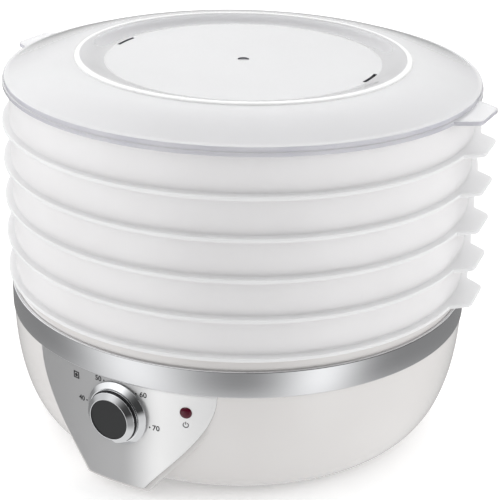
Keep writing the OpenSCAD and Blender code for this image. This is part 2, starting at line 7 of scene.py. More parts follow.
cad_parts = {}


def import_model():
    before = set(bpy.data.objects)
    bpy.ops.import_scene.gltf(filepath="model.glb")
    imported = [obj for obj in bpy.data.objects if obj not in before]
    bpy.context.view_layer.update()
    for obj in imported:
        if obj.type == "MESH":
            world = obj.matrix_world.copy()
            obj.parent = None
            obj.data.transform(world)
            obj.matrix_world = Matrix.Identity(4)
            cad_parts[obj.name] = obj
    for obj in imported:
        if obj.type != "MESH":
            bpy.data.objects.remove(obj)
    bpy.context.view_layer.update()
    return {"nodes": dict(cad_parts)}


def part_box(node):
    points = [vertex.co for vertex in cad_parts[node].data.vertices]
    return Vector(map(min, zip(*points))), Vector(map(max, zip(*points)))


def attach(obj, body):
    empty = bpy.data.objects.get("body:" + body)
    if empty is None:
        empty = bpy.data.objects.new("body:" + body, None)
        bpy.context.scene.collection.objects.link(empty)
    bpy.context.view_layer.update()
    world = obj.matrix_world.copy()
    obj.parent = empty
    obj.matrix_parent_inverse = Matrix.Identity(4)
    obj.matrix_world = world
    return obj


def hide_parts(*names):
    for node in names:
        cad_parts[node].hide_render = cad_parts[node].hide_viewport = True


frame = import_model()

# Looks of the round food dehydrator. Metres, +Z up, the control panel faces -Y.
# Every visible moulding is rebuilt here as a smooth, bevelled mesh of the CAD part's own size,
# and the pieces inside the base keep their CAD shape and get a material.

MM = 0.001
SEGMENTS = 256

# ---------------------------------------------------------------- sizes, read from the frame

BAND_LOW, BAND_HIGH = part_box("chrome_band")
BAND_R = BAND_HIGH.x
BAND_Z = BAND_LOW.z
BAND_TOP_Z = BAND_HIGH.z
BASE_LOW, BASE_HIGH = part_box("base_shell")
FOOT_H = BASE_LOW.z
BASE_R = BASE_HIGH.x
COVER_LOW, COVER_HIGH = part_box("top_cover")
RIM_TOP_Z = COVER_HIGH.z
RIM_R = COVER_HIGH.y
DECK_Z = COVER_LOW.z
PANEL_LOW, PANEL_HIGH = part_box("front_panel")
PANEL_TOP_HALF = PANEL_HIGH.x
PANEL_LOW_Z = PANEL_LOW.z
SKIRT_LOW, SKIRT_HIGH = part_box("knob_skirt")
KNOB_X = (SKIRT_LOW.x + SKIRT_HIGH.x) / 2
KNOB_Z = (SKIRT_LOW.z + SKIRT_HIGH.z) / 2
KNOB_R = (SKIRT_HIGH.x - SKIRT_LOW.x) / 2
KNOB_FRONT = -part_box("knob_body")[0].y
LENS_LOW, LENS_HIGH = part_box("indicator_lens")
LENS_Z = (LENS_LOW.z + LENS_HIGH.z) / 2
TRAY_LOW = {place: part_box(f"tray_{place}")[0].z for place in range(1, 6)}
FLANGE_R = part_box("tray_1")[1].y
LID_LOW, LID_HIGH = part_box("lid")

# The rest of the section sizes are the moulding's own, as the CAD part has them
SHELL_T = 2.6 * MM
FLAT_R = 126 * MM
BOWL_POWER = 2.1
UNDERSIDE_R = 88 * MM
PANEL_LOW_HALF = 21 * MM
PANEL_CURVE = 1.1
PANEL_T = 1.5 * MM
PANEL_R = BASE_R + 0.1 * MM
POD_RIM = 2.4 * MM
LAMP_ANGLE = math.radians(17.7)
TRAY_R = BASE_R - 2.5 * MM
TRAY_T = 2 * MM
FLANGE_T = 2.5 * MM
SPIGOT_H = 3 * MM
SPIGOT_R = TRAY_R - TRAY_T - 0.6 * MM
TRAY_PITCH = TRAY_LOW[4] - TRAY_LOW[5]
FLOOR_R = SPIGOT_R - 5 * MM
TAB_R = FLANGE_R + 10 * MM
TAB_ROOT_HALF = 25 * MM
TAB_FLAT_HALF = 13 * MM
TAB_CORNER_R = 5 * MM
TRAY_TURN = math.radians(7.5)
LID_TURN = math.radians(1.5)
LID_T = 2 * MM
LID_FLANGE_R = TRAY_R + 3.8 * MM
LID_FLANGE_T = 2.8 * MM
LID_WALL_R = LID_FLANGE_R - 0.8 * MM
LID_SHOULDER_R = LID_FLANGE_R - 2.8 * MM
LID_TAB_R = 172 * MM
LID_SLOT_TURN = math.radians(2)
LID_SLOT_HALF = math.radians(6.5)
LID_RIM_H = 6 * MM
LID_RING_H = LID_HIGH.z - LID_LOW.z - SPIGOT_H
LID_DISC_Z = 12.5 * MM
LID_RING_R = 110 * MM
LID_RIDGE_HALF = 2 * MM
LID_RIDGE_H = 1.2 * MM
LID_DISC_R = 92 * MM
LID_DIMPLE_R = 3.5 * MM
LID_DIMPLE_WALL = 0.4 * MM

# ---------------------------------------------------------------- mesh helpers


def fillet(corners, steps=4):
    """Closed outline through (x, y, radius) corners, with each corner rounded by its radius."""
    points = []
    count = len(corners)
    for i, (x, y, radius) in enumerate(corners):
        here = Vector((x, y))
        before = Vector(corners[i - 1][:2]) - here
        after = Vector(corners[(i + 1) % count][:2]) - here
        if radius <= 0 or before.length < 1e-9 or after.length < 1e-9:
            points.append((x, y))
            continue
        half = before.angle(after) / 2
        if half < 1e-3 or half > math.pi / 2 - 1e-3:
            points.append((x, y))
            continue
        cut = min(radius / math.tan(half), 0.49 * before.length, 0.49 * after.length)
        start = here + before.normalized() * cut
        end = here + after.normalized() * cut
        for k in range(steps + 1):
            t = k / steps
            points.append(tuple((1 - t) ** 2 * start + 2 * t * (1 - t) * here + t * t * end))
    return points


def finish_mesh(name, bm, material, sharp=35.0):
    """Object with the finished mesh, smooth except across edges steeper than sharp degrees."""
    bmesh.ops.recalc_face_normals(bm, faces=bm.faces)
    mesh = bpy.data.meshes.new(name)
    bm.to_mesh(mesh)
    bm.free()
    for polygon in mesh.polygons:
        polygon.use_smooth = True
    mesh.set_sharp_from_angle(angle=math.radians(sharp))
    obj = bpy.data.objects.new(name, mesh)
    obj.data.materials.append(material)
    bpy.context.scene.collection.objects.link(obj)
    return obj


def add_lathe(bm, profile, samples, follow=None):
    """Adds a ring solid: the closed profile of (r, z) swept through samples of (angle, bump).

    follow holds, for each profile point, how much of the bump its radius takes. Points on the
    axis are shared. Returns the rings of vertices, and the faces by (ring, profile side)."""
    axis = {i: bm.verts.new((0, 0, z)) for i, (r, z) in enumerate(profile) if r < 1e-9}
    rings = []
    for angle, bump in samples:
        c = math.cos(angle)
        s = math.sin(angle)
        ring = []
        for i, (r, z) in enumerate(profile):
            reach = r + (bump * follow[i] if follow else 0)
            ring.append(axis[i] if i in axis else bm.verts.new((reach * c, reach * s, z)))
        rings.append(ring)
    count = len(profile)
    faces = {}
    for k, a in enumerate(rings):
        b = rings[(k + 1) % len(rings)]
        for i in range(count):
            j = (i + 1) % count
            if i in axis and j in axis:
                continue
            corners = [a[i], b[i], b[j], a[j]]
            if i in axis:
                corners = [a[i], b[j], a[j]]
            elif j in axis:
                corners = [a[i], b[i], a[j]]
            faces[k, i] = bm.faces.new(corners)
    return rings, faces


def circle_samples(segments=SEGMENTS):
    """(angle, bump) all round a plain circle."""
    return [(math.tau * i / segments, 0.0) for i in range(segments)]


def lathe(name, profile, material, segments=SEGMENTS, sharp=35.0):
    """Turned piece about the vertical axis, from a closed profile of (r, z)."""
    bm = bmesh.new()
    add_lathe(bm, profile, circle_samples(segments))
    return finish_mesh(name, bm, material, sharp)


def place(obj, body, slot, *nodes):
    """Puts a piece on its body and hides the CAD nodes it stands for; slot, its finish, is not used."""
    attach(obj, body)
    if nodes:
        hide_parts(*nodes)
    return obj


def outward(angle, z):
    """Matrix that turns local +Z outwards from the base's axis, angle right of the panel."""
    return (
        Matrix.Translation((0, 0, z))
        @ Matrix.Rotation(angle, 4, "Z")
        @ Matrix.Rotation(math.pi / 2, 4, "X")
    )


def tab_edge(edge_r, tip_r):
    """Points (x, y) of one half of a lifting tab's edge, from its root to the middle."""
    corner = Vector((tip_r - TAB_CORNER_R, TAB_FLAT_HALF))
    root = Vector((edge_r - 3 * MM, TAB_ROOT_HALF))
    reach = corner - root
    half = math.asin(TAB_CORNER_R / reach.length)
    start = math.atan2(reach.y, reach.x) + half + math.pi / 2
    steps = 8
    arc = []
    for k in range(steps + 1):
        turn = start * (1 - k / steps)
        arc.append((corner.x + TAB_CORNER_R * math.cos(turn),
                    corner.y + TAB_CORNER_R * math.sin(turn)))
    flat = [(tip_r, TAB_FLAT_HALF * f) for f in (0.66, 0.33, 0.0)]
    return [tuple(root)] + arc + flat


def flange_samples(edge_r, tip_r):
    """(angle, bump) round a flange of radius edge_r with opposite tabs out to tip_r."""
    half = [(math.atan2(y, x), math.hypot(x, y) - edge_r) for x, y in tab_edge(edge_r, tip_r)]
    # the side of the tab starts where it leaves the flange's circle
    (a0, b0), (a1, b1) = half[0], half[1]
    leave = a0 + (a1 - a0) * (-b0) / (b1 - b0)
    side = [(leave, 0.0)]
    side += [(leave + (a1 - leave) * f, b1 * f) for f in (0.33, 0.66)]
    half = side + half[1:]
    tab = half + [(-a, b) for a, b in reversed(half[:-1])]
    tab.sort()
    edge = tab[-1][0]
    samples = []
    plain = SEGMENTS // 2
    for turn in (0.0, math.pi):
        samples += [(turn + a, b) for a, b in tab]
        gap = math.pi - 2 * edge
        samples += [(turn + edge + gap * k / plain, 0.0) for k in range(1, plain)]
    return samples


def with_angles(samples, angles):
    """The same samples with more angles put in between them."""
    made = sorted((a % math.tau, b) for a, b in samples)
    for angle in angles:
        angle %= math.tau
        near = min(abs(a - angle) for a, _ in made)
        if near < 1e-5:
            continue
        after = next((k for k, (a, _) in enumerate(made) if a > angle), len(made))
        a0, b0 = made[after - 1]
        a1, b1 = made[after % len(made)]
        part = ((angle - a0) % math.tau) / ((a1 - a0) % math.tau)
        made.insert(after, (angle, b0 + (b1 - b0) * part))
    return made


def add_box(bm, low, high, matrix):
    """Adds a box between two corners, moved by the matrix."""
    made = bmesh.ops.create_cube(bm, size=1)
    size = Vector(high) - Vector(low)
    middle = (Vector(high) + Vector(low)) / 2
    shape = matrix @ Matrix.Translation(middle) @ Matrix.Diagonal((*size, 1))
    bmesh.ops.transform(bm, matrix=shape, verts=made["verts"])


# ---------------------------------------------------------------- materials


def material(name, colour, roughness, metallic=0.0, **sockets):
    """Principled material; the other keyword names are its socket names with _ for spaces."""
    mat = bpy.data.materials.new(name)
    mat.use_nodes = True
    shader = mat.node_tree.nodes["Principled BSDF"]
    shader.inputs["Base Color"].default_value = (*colour, 1)
    shader.inputs["Roughness"].default_value = roughness
    shader.inputs["Metallic"].default_value = metallic
    for key, value in sockets.items():
        shader.inputs[key.replace("_", " ")].default_value = value
    return mat


def node(mat, kind, **values):
    made = mat.node_tree.nodes.new(kind)
    for key, value in values.items():
        made.inputs[key.replace("_", " ")].default_value = value
    return made


def link(mat, source, target):
    mat.node_tree.links.new(source, target)


def noise_of(mat, scale, detail=3.0, stretch=(1, 1, 1)):
    """Noise over the object's own coordinates, scale in features per metre."""
    coords = node(mat, "ShaderNodeTexCoord")
    mapping = node(mat, "ShaderNodeMapping")
    mapping.inputs["Scale"].default_value = stretch
    made = node(mat, "ShaderNodeTexNoise", Scale=scale, Detail=detail)
    link(mat, coords.outputs["Object"], mapping.inputs["Vector"])
    link(mat, mapping.outputs["Vector"], made.inputs["Vector"])
    return made


def vary_roughness(mat, source, low, high):
    """Lets the noise move the roughness between low and high."""
    shader = mat.node_tree.nodes["Principled BSDF"]
    spread = node(mat, "ShaderNodeMapRange")
    spread.inputs["From Min"].default_value = 0.3
    spread.inputs["From Max"].default_value = 0.7
    spread.inputs["To Min"].default_value = low
    spread.inputs["To Max"].default_value = high
    link(mat, source.outputs["Fac"], spread.inputs["Value"])
    link(mat, spread.outputs["Result"], shader.inputs["Roughness"])


def vary_colour(mat, source, first, second):
    """Lets the noise move the colour between two tints."""
    shader = mat.node_tree.nodes["Principled BSDF"]
    ramp = node(mat, "ShaderNodeValToRGB")
    ramp.color_ramp.elements[0].position = 0.3
    ramp.color_ramp.elements[0].color = (*first, 1)
    ramp.color_ramp.elements[1].position = 0.7
    ramp.color_ramp.elements[1].color = (*second, 1)
    link(mat, source.outputs["Fac"], ramp.inputs["Fac"])
    link(mat, ramp.outputs["Color"], shader.inputs["Base Color"])


def add_bump(mat, source, strength, distance):
    shader = mat.node_tree.nodes["Principled BSDF"]
    bump = node(mat, "ShaderNodeBump", Strength=strength, Distance=distance)
    link(mat, source.outputs["Fac"], bump.inputs["Height"])
    link(mat, bump.outputs["Normal"], shader.inputs["Normal"])


def base_white():
    mat = material("base_white", (0.69, 0.67, 0.66), 0.2, Coat_Weight=0.35,
                   Coat_Roughness=0.06)
    cloud = noise_of(mat, 14, 2)
    vary_colour(mat, cloud, (0.68, 0.66, 0.65), (0.7, 0.685, 0.675))
    grain = noise_of(mat, 900, 2)
    vary_roughness(mat, grain, 0.18, 0.26)
    add_bump(mat, grain, 0.03, 0.0002)
    return mat


def chrome():
    mat = material("chrome", (0.8, 0.805, 0.82), 0.14, metallic=1.0)
    lines = noise_of(mat, 60, 4, stretch=(1, 1, 90))
    vary_roughness(mat, lines, 0.12, 0.2)
    add_bump(mat, lines, 0.02, 0.0001)
    return mat


def knob_chrome():
    mat = material("knob_chrome", (0.84, 0.85, 0.865), 0.05, metallic=1.0)
    smudge = noise_of(mat, 220, 3)
    vary_roughness(mat, smudge, 0.03, 0.07)
    return mat


def silver_with_painted_reflection():
    """Satin silver with a painted reflection: its colour pales from grey to white towards the plate's
    right end.
    """
    mat = material("silver_with_painted_reflection", (0.62, 0.62, 0.63), 0.36, metallic=0.6)
    shader = mat.node_tree.nodes["Principled BSDF"]
    coords = node(mat, "ShaderNodeTexCoord")
    split = node(mat, "ShaderNodeSeparateXYZ")
    link(mat, coords.outputs["Object"], split.inputs["Vector"])
    # painted reflection: the base colour brightens with the plate's own X
    painted_reflection_across = node(mat, "ShaderNodeMapRange")
    painted_reflection_across.interpolation_type = "SMOOTHSTEP"
    painted_reflection_across.inputs["From Min"].default_value = 4 * MM
    painted_reflection_across.inputs["From Max"].default_value = 34 * MM
    link(mat, split.outputs["X"], painted_reflection_across.inputs["Value"])
    flake = noise_of(mat, 4200, 1)
    ramp = node(mat, "ShaderNodeValToRGB")
    ramp.color_ramp.elements[0].color = (0.48, 0.48, 0.485, 1)
    ramp.color_ramp.elements[1].color = (1.0, 1.0, 1.0, 1)
    link(mat, painted_reflection_across.outputs["Result"], ramp.inputs["Fac"])
    link(mat, ramp.outputs["Color"], shader.inputs["Base Color"])
    vary_roughness(mat, flake, 0.3, 0.42)
    add_bump(mat, flake, 0.05, 0.0001)
    return mat


def knob_dark():
    mat = material("knob_dark", (0.013, 0.014, 0.015), 0.45)
    grain = noise_of(mat, 2500, 2)
    vary_roughness(mat, grain, 0.4, 0.52)
    add_bump(mat, grain, 0.08, 0.0001)
    return mat


def lamp_red():
    mat = material("lamp_red", (0.07, 0.001, 0.012), 0.22)
    grain = noise_of(mat, 700, 2)
    vary_roughness(mat, grain, 0.1, 0.18)
    return mat


def tray_milky(name, low, high):
    """Milky plastic between two close tints."""
    mat = material(name, low, 0.34, Subsurface_Weight=0.4, Subsurface_Scale=0.004,
                   Coat_Weight=0.1)
    mat.node_tree.nodes["Principled BSDF"].inputs["Subsurface Radius"].default_value = (1, 1, 1)
    cloud = noise_of(mat, 18, 3)
    vary_colour(mat, cloud, low, high)
    grain = noise_of(mat, 350, 2)
    vary_roughness(mat, grain, 0.3, 0.4)
    add_bump(mat, grain, 0.02, 0.0001)
    return mat


def lid_clear(name, tint, clearness):
    """Clear plastic with a slight haze; clearness is how much light goes straight through."""
    mat = material(name, tint, 0.16, Transmission_Weight=clearness, IOR=1.4,
                   Coat_Weight=0.7, Coat_Roughness=0.04)
    haze = noise_of(mat, 9, 2)
    vary_colour(mat, haze, tuple(c * 0.96 for c in tint), tint)
    grain = noise_of(mat, 500, 3)
    vary_roughness(mat, grain, 0.1, 0.2)
    return mat


def lid_edge_painted_shade():
    """The same clear plastic made darker and cooler for the rim's sides: painted shade."""
    mat = material("lid_edge_painted_shade", (0.72, 0.715, 0.77), 0.12, Transmission_Weight=0.35, IOR=1.4,
                   Coat_Weight=0.6, Coat_Roughness=0.04)
    haze = noise_of(mat, 40, 2)
    vary_colour(mat, haze, (0.68, 0.675, 0.74), (0.76, 0.755, 0.8))
    grain = noise_of(mat, 500, 3)
    vary_roughness(mat, grain, 0.1, 0.18)
    return mat


def rubber():
    mat = material("rubber", (0.03, 0.03, 0.032), 0.7)
    grain = noise_of(mat, 1500, 3)
    vary_roughness(mat, grain, 0.6, 0.85)
    add_bump(mat, grain, 0.2, 0.0002)
    return mat


def print_black():
    mat = material("print_black", (0.012, 0.012, 0.013), 0.5)
    grain = noise_of(mat, 3000, 2)
    vary_roughness(mat, grain, 0.42, 0.6)
    return mat


def plain(name, colour, roughness, metallic=0.0, grain_scale=900, relief=0.08):
    """Workaday finish for the pieces inside the base."""
    mat = material(name, colour, roughness, metallic)
    grain = noise_of(mat, grain_scale, 3)
    vary_roughness(mat, grain, roughness * 0.85, min(1.0, roughness * 1.2))
    vary_colour(mat, grain, tuple(c * 0.92 for c in colour), colour)
    add_bump(mat, grain, relief, 0.0002)
    return mat


BASE_WHITE = base_white()
CHROME = chrome()
KNOB_CHROME = knob_chrome()
SILVER_PAINTED_REFLECTION = silver_with_painted_reflection()
# painted shade: near-black finish for the grooves of the chrome knob
KNOB_GROOVE_PAINTED_SHADE = plain("knob_groove_painted_shade", (0.02, 0.02, 0.022), 0.4, 0.0, 2500, 0.05)
KNOB_DARK = knob_dark()
PANEL_EDGE = plain("panel_edge", (0.12, 0.12, 0.125), 0.4, 0.5)
LAMP_RED = lamp_red()
TRAY_MILKY = tray_milky("tray_milky", (0.76, 0.75, 0.755), (0.785, 0.777, 0.783))
# painted shade: a darker copy of the tray plastic for the flanges and tabs, dimming the light on their
# tops
TRAY_FLANGE_PAINTED_SHADE = tray_milky("tray_flange_painted_shade", (0.71, 0.71, 0.715), (0.74, 0.74, 0.745))
LID_CLEAR = lid_clear("lid_clear", (0.94, 0.94, 0.955), 0.42)
# painted shade: a darker, clearer copy of the lid plastic so the dish between ridge and centre reads
# grey
LID_DISH_PAINTED_SHADE = lid_clear("lid_dish", (0.92, 0.92, 0.94), 0.65)
# painted highlight: a whiter, cloudier copy of the lid plastic for the ridge's top
LID_RIDGE_PAINTED_HIGHLIGHT = lid_clear("lid_ridge_painted_highlight", (0.99, 0.99, 0.99), 0.1)
LID_EDGE_PAINTED_SHADE = lid_edge_painted_shade()
# painted shade: near-black finish for the walls of the vent slots and of the dimple
LID_CUT_PAINTED_SHADE = plain("lid_cut_painted_shade", (0.1, 0.1, 0.115), 0.3, 0.0, 900, 0.02)
RUBBER = rubber()
PRINT = print_black()

INSIDE = {
    "neon_lamp": plain("lamp_glass", (0.8, 0.5, 0.3), 0.1),
    "thermostat_body": plain("control_plastic", (0.05, 0.05, 0.055), 0.5),
    "terminal_block": plain("ivory_plastic", (0.75, 0.7, 0.56), 0.45),
    "wiring": plain("wire_sheath", (0.45, 0.04, 0.03), 0.45),
    "fan_duct": plain("duct_metal", (0.7, 0.71, 0.72), 0.35, 1.0),
    "motor_stator": plain("lamination_steel", (0.28, 0.29, 0.31), 0.5, 0.9),
    "motor_rotor": plain("rotor_steel", (0.3, 0.31, 0.33), 0.45, 0.9),
    "motor_coil": plain("copper_winding", (0.6, 0.26, 0.1), 0.35, 0.8, 2500, 0.4),
    "fan_impeller": plain("fan_plastic", (0.06, 0.06, 0.065), 0.4),
    "heater_frame": plain("mica_sheet", (0.55, 0.42, 0.26), 0.6),
    "heater_element": plain("heater_wire", (0.4, 0.38, 0.35), 0.4, 1.0),
    "thermal_cutout": plain("cutout_ceramic", (0.8, 0.77, 0.7), 0.6),
}
STEEL = plain("bright_steel", (0.62, 0.62, 0.63), 0.3, 1.0)
for name in ("thermostat_nut", "thermostat_shaft", "motor_bracket", "motor_end_bracket",
             "motor_screws", "motor_shaft", "cover_screws"):
    INSIDE[name] = STEEL
for name in ("outlet_grille", "bottom_cover"):
    INSIDE[name] = BASE_WHITE
for name in ("foot_1", "foot_2", "foot_3", "foot_4"):
    INSIDE[name] = RUBBER


def finish_cad_nodes():
    for name, mat in INSIDE.items():
        mesh = frame["nodes"][name].data
        mesh.materials.clear()
        mesh.materials.append(mat)


# ---------------------------------------------------------------- base


def bowl_r(z, inset=0.0):
    """Radius of the bowl's outside at height z, shrunk inwards by inset."""
    drop = BAND_Z - FOOT_H - inset
    t = min(1.0, max(0.0, (BAND_Z - z) / drop))
    span = BASE_R - inset - FLAT_R
    return FLAT_R + span * max(0.0, 1 - t**BOWL_POWER) ** (1 / BOWL_POWER)


def bowl_curve(inset, steps=40):
    """Profile points of the bowl from its top edge down to the flat underside."""
    low = FOOT_H + inset
    points = []
    for i in range(steps + 1):
        z = BAND_Z - (BAND_Z - low) * math.sin(math.pi / 2 * i / steps)
        points.append((bowl_r(z, inset), z))
    return points


def base_bowl():
    neck_r = BAND_R - 2.3 * MM
    outer = bowl_curve(0)
    inner = bowl_curve(SHELL_T)
    profile = outer
    profile += [(UNDERSIDE_R, FOOT_H), (UNDERSIDE_R, FOOT_H + SHELL_T)]
    profile += list(reversed(inner))
    profile += [
        (neck_r - SHELL_T, BAND_Z),
        (neck_r - SHELL_T, BAND_TOP_Z),
        (neck_r, BAND_TOP_Z),
        (neck_r, BAND_Z),
    ]
    place(lathe("base_bowl", profile, BASE_WHITE), "base", "base_white", "base_shell")


def panel_half(z):
    """Half width of the panel at height z."""
    t = max(0.0, (z - PANEL_LOW_Z) / (BAND_Z - PANEL_LOW_Z))
    return PANEL_LOW_HALF + (PANEL_TOP_HALF - PANEL_LOW_HALF) * math.sin(
        math.pi / 2 * t**PANEL_CURVE
    )


def control_pod():
    """Hollow housing behind the panel, from the bowl out to a white rim round the panel."""
    front_r = PANEL_R - PANEL_T
    rows = 40
    columns = 32
    low = PANEL_LOW_Z - POD_RIM
    bm = bmesh.new()
    grid = []
    for i in range(rows + 1):
        t = i / rows
        z = low + (BAND_Z - low) * t
        half = panel_half(PANEL_LOW_Z + (BAND_Z - PANEL_LOW_Z) * t) + POD_RIM
        wall_r = min(front_r, bowl_r(z) - SHELL_T / 2)
        side_y = -math.sqrt(wall_r**2 - half**2)
        spread = math.asin(half / front_r)
        row = [(-half, side_y)]
        for k in range(columns + 1):
            a = spread * (2 * k / columns - 1)
            row.append((front_r * math.sin(a), -front_r * math.cos(a)))
        row.append((half, side_y))
        grid.append([bm.verts.new((x, y, z)) for x, y in row])
    for a, b in zip(grid, grid[1:]):
        for k in range(len(a) - 1):
            bm.faces.new([a[k], a[k + 1], b[k + 1], b[k]])
    # floor of the pod, from the front edge back to the bowl
    wall_r = bowl_r(low) - SHELL_T / 2
    back = [grid[0][0]]
    for v in grid[0][2:-2]:
        back.append(bm.verts.new((v.co.x, -math.sqrt(wall_r**2 - v.co.x**2), low)))
    back.append(grid[0][-1])
    front = grid[0][1:-1]
    for k in range(len(front) - 1):
        bm.faces.new([front[k + 1], front[k], back[k], back[k + 1]])
    obj = finish_mesh("control_pod", bm, BASE_WHITE, 30)
    thick = obj.modifiers.new("thickness", "SOLIDIFY")
    thick.thickness = 2.2 * MM
    thick.offset = -1
    edge = obj.modifiers.new("edges", "BEVEL")
    edge.width = 0.9 * MM
    edge.segments = 4
    edge.limit_method = "ANGLE"
    place(obj, "base", "base_white")


def chrome_band():
    r = 0.6 * MM
    inner = BAND_R - 2 * MM
    profile = fillet([
        (inner, BAND_Z + 0.05 * MM, 0),
        (BAND_R, BAND_Z + 0.05 * MM, r),
        (BAND_R, BAND_TOP_Z - 0.05 * MM, r),
        (inner, BAND_TOP_Z - 0.05 * MM, 0),
    ])
    place(lathe("band", profile, CHROME), "base", "chrome_trim", "chrome_band")


def top_cover():
    wall_r = BAND_R - 2.3 * MM - SHELL_T - 0.3 * MM
    inner_r = wall_r - SHELL_T
    seat_r = SPIGOT_R + 0.4 * MM
    outlet_r = 46 * MM
    lip_r = outlet_r + 2.5 * MM
    lip_z = DECK_Z + 7 * MM
    seat_z = RIM_TOP_Z - 5.25 * MM
    deck = DECK_Z + 2.5 * MM
    soft = 0.8 * MM
    profile = fillet([
        (outlet_r, DECK_Z, 0),
        (wall_r, DECK_Z, soft),
        (wall_r, BAND_TOP_Z, 0),
        (RIM_R, BAND_TOP_Z, 0.4 * MM),
        (RIM_R, RIM_TOP_Z, 1.2 * MM),
        (seat_r, RIM_TOP_Z, 0.4 * MM),
        (seat_r, seat_z, 0),
        (inner_r, seat_z, soft),
        (inner_r, deck, 3 * MM),
        (lip_r, deck, soft),
        (lip_r, lip_z, 0.5 * MM),
        (outlet_r, lip_z, 0.5 * MM),
    ])
    place(lathe("top_deck", profile, BASE_WHITE), "base", "base_white", "top_cover")


# ---------------------------------------------------------------- front panel


def on_panel(s, z, depth=0.0):
    """Point on the panel's face, s metres of arc right of its centre, depth proud of it."""
    a = s / PANEL_R
    r = PANEL_R + depth
    return Vector((r * math.sin(a), -r * math.cos(a), z))


def front_panel():
    """Silver plate, curved with the base, wide at the top and tapering down."""
    rows = 60
    columns = 40
    crowding = 1.6
    corner = 1.2 * MM
    bm = bmesh.new()
    grid = []
    for i in range(rows + 1):
        t = (i / rows) ** crowding
        z = PANEL_LOW_Z + (BAND_Z - PANEL_LOW_Z) * t
        half = panel_half(z)
        rise = z - PANEL_LOW_Z
        if rise < corner:
            half -= corner - math.sqrt(corner**2 - (corner - rise) ** 2)
        spread = math.asin(half / PANEL_R)
        row = []
        for k in range(columns + 1):
            row.append(bm.verts.new(on_panel(PANEL_R * spread * (2 * k / columns - 1), z)))
        grid.append(row)
    for a, b in zip(grid, grid[1:]):
        for k in range(columns):
            bm.faces.new([a[k], a[k + 1], b[k + 1], b[k]])
    obj = finish_mesh("silver_panel", bm, SILVER_PAINTED_REFLECTION, 40)
    thick = obj.modifiers.new("thickness", "SOLIDIFY")
    thick.thickness = PANEL_T
    thick.offset = -1
    thick.material_offset_rim = 1
    obj.data.materials.append(PANEL_EDGE)
    edge = obj.modifiers.new("edges", "BEVEL")
    edge.width = 0.3 * MM
    edge.segments = 2
    edge.material = 1
    edge.limit_method = "ANGLE"
    edge.angle_limit = math.radians(50)
    place(obj, "base", "panel_silver", "front_panel")


def wrap_flat(name, mesh, s, z, lift):
    """Lays a flat mesh drawn in XY onto the panel about the point (s, z)."""
    for v in mesh.vertices:
        v.co = on_panel(s + v.co.x, z + v.co.y, lift + v.co.z)
    mesh.materials.clear()
    mesh.materials.append(PRINT)
    obj = bpy.data.objects.new(name, mesh)
    bpy.context.scene.collection.objects.link(obj)
    return place(obj, "base", "knob_dark")


def numeral(text, s, z, size):
    curve = bpy.data.curves.new(f"numeral_{text}", "FONT")
    curve.body = text
    curve.size = size
    curve.align_x = "CENTER"
    curve.align_y = "CENTER"
    curve.extrude = 0.04 * MM
    curve.offset = 0.08 * MM
    helper = bpy.data.objects.new("numeral_helper", curve)
    bpy.context.scene.collection.objects.link(helper)
    bpy.context.view_layer.update()
    mesh = bpy.data.meshes.new_from_object(helper)
    bpy.data.objects.remove(helper)
    wrap_flat(f"dial_{text}", mesh, s, z, 0.06 * MM)


def flat_shape(name, outlines, s, z):
    """Printed mark: flat outlines of (x, y) points, each given a little thickness."""
    bm = bmesh.new()
    for outline in outlines:
        low = [bm.verts.new((x, y, -0.04 * MM)) for x, y in outline]
        high = [bm.verts.new((x, y, 0.04 * MM)) for x, y in outline]
        bm.faces.new(high)
        bm.faces.new(list(reversed(low)))
        for k in range(len(outline)):
            j = (k + 1) % len(outline)
            bm.faces.new([low[k], low[j], high[j], high[k]])
    mesh = bpy.data.meshes.new(name)
    bm.to_mesh(mesh)
    bm.free()
    wrap_flat(name, mesh, s, z, 0.06 * MM)


def disc_outline(x, y, r, steps=20):
    return [(x + r * math.cos(math.tau * k / steps), y + r * math.sin(math.tau * k / steps))
            for k in range(steps)]


def arc_outline(r, width, first, last, steps=24):
    angles = [math.radians(first + (last - first) * k / steps) for k in range(steps + 1)]
    outer = [((r + width / 2) * math.cos(a), (r + width / 2) * math.sin(a)) for a in angles]
    inner = [((r - width / 2) * math.cos(a), (r - width / 2) * math.sin(a)) for a in angles]
    return outer + list(reversed(inner))


def dial_marks():
    """Four temperatures a sixth of a turn apart, each with its dot, and two plain symbols."""
    dot_ring = 23.7 * MM
    dial_x = KNOB_X - 0.9 * MM
    dial_z = KNOB_Z - 1.7 * MM
    first_angle = 173
    step_angle = 60
    asides = {"40": -4.4 * MM, "50": -4.4 * MM, "60": 4.9 * MM, "70": 4.2 * MM}
    for index, (text, aside) in enumerate(asides.items()):
        a = math.radians(first_angle - step_angle * index)
        x = dial_x + dot_ring * math.cos(a)
        z = dial_z + dot_ring * math.sin(a)
        flat_shape(f"dial_dot_{text}", [disc_outline(0, 0, 0.55 * MM)], x, z)
        numeral(text, x + aside, z, 5.0 * MM)
    # small square symbol at the upper left of the dial
    half = 2.4 * MM
    bar = 0.8 * MM
    frame_bars = [
        [(-half, -half), (half, -half), (half, -half + bar), (-half, -half + bar)],
        [(-half, half - bar), (half, half - bar), (half, half), (-half, half)],
        [(-half, -half), (-half + bar, -half), (-half + bar, half), (-half, half)],
        [(half - bar, -half), (half, -half), (half, half), (half - bar, half)],
    ]
    flat_shape("mark_square", frame_bars + [disc_outline(0, 0, 1.2 * MM)],
               dial_x - 32.4 * MM, dial_z + 18.0 * MM)
    # power symbol under the lamp
    r = 1.7 * MM
    stem = [(-0.25 * MM, 0.4 * MM), (0.25 * MM, 0.4 * MM), (0.25 * MM, 2.3 * MM),
            (-0.25 * MM, 2.3 * MM)]
    flat_shape("mark_power", [arc_outline(r, 0.5 * MM, 120, 420), stem],
               PANEL_R * LAMP_ANGLE, LENS_Z - 8.6 * MM)


# ---------------------------------------------------------------- knob and lamp


